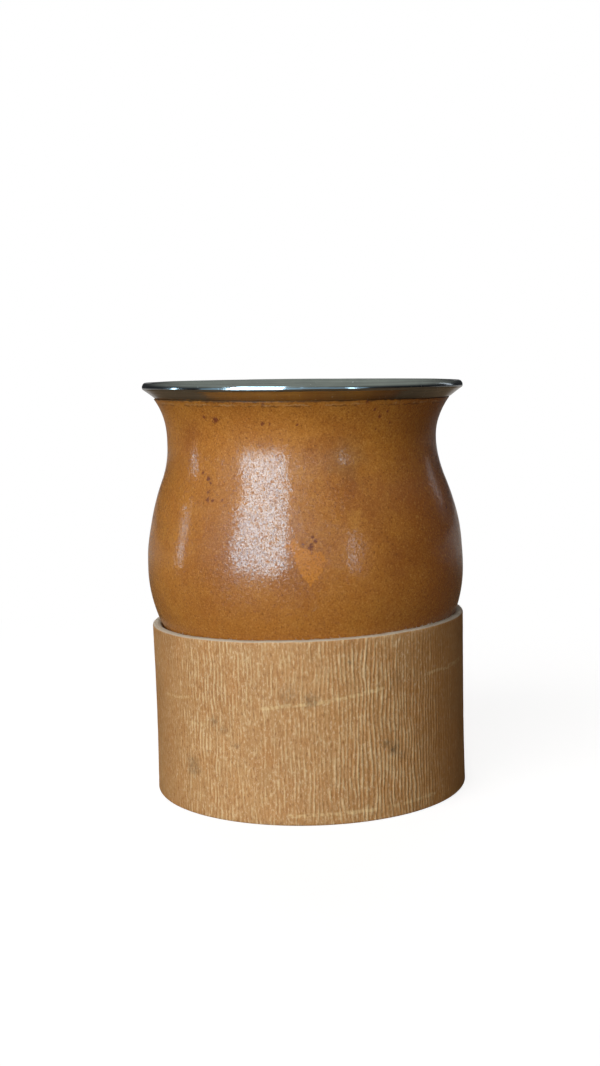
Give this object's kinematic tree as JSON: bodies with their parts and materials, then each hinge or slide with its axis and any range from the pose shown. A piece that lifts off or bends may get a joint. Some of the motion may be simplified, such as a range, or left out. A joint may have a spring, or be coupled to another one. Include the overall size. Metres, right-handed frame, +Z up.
{
  "type": "mate cup",
  "caption": "Round hollow gourd drinking cup with a flared steel rim, standing in a wide laced leather band.",
  "frame": {"origin": "on the floor, at the centre of the leather band's foot", "axes": "+Z up along the cup's axis; the front shown in the picture faces -Y; the band's laced seam is at +Y"},
  "size_m": [0.086, 0.0861, 0.1108],
  "materials": {
    "calabash": "glossy",
    "steel": "polished",
    "leather": "matte",
    "thread": "waxed"
  },
  "bodies": {
    "root": {"calabash_bowl": "calabash", "steel_rim": "steel", "leather_ring": "leather", "seam_thread": "thread"}
  },
  "joints": []
}
